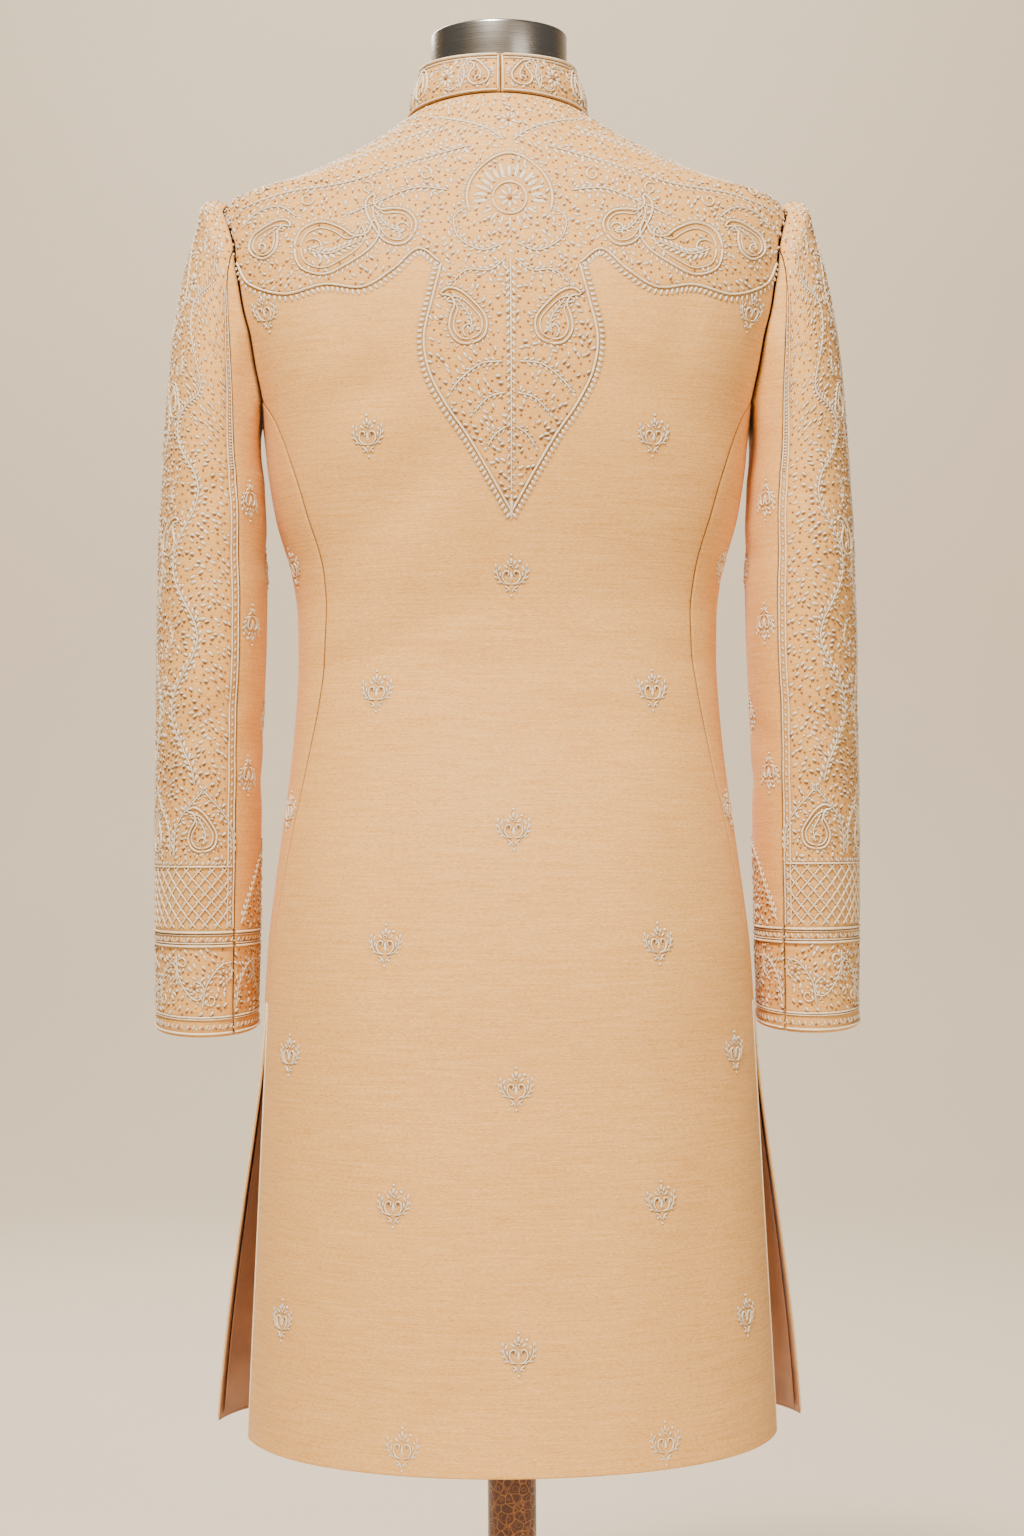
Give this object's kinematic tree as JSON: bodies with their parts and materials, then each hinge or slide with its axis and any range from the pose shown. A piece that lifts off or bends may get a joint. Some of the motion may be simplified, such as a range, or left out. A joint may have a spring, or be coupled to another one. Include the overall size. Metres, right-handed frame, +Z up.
{
  "type": "sherwani coat on a dress form",
  "caption": "Knee-length embroidered sherwani coat with stand collar and side slits, worn by a limbless dress form on a pole and a round base.",
  "frame": {"origin": "centre of the base's underside, on the floor under the pole", "axes": "+Z up, the coat faces -Y, the wearer's left is +X"},
  "size_m": [0.5858, 0.372, 1.578],
  "materials": {
    "silk": "beige raw silk with tonal raised thread embroidery",
    "embroidery": "cream and pale gold cord and satin stitch",
    "lining": "plain brown satin lining",
    "button": "thread-covered dome",
    "form_cover": "smooth off-white jersey cover",
    "neck_steel": "brushed",
    "pole_wood": "dark polished wood with a fine tan ornament",
    "base_steel": "brushed"
  },
  "bodies": {
    "root": {"back": "silk", "side_left": "silk", "side_right": "silk", "front_left": "silk", "front_right": "silk", "sleeve_top_left": "silk", "sleeve_top_right": "silk", "sleeve_under_left": "silk", "sleeve_under_right": "silk", "collar_left": "silk", "collar_right": "silk", "lining_left": "lining", "lining_right": "lining", "button_1": "button", "button_2": "button", "button_3": "button", "button_4": "button", "button_5": "button", "button_6": "button", "button_7": "button", "button_8": "button", "form_torso": "form_cover", "form_neck": "neck_steel", "form_pole": "pole_wood", "form_base": "base_steel"}
  },
  "joints": []
}
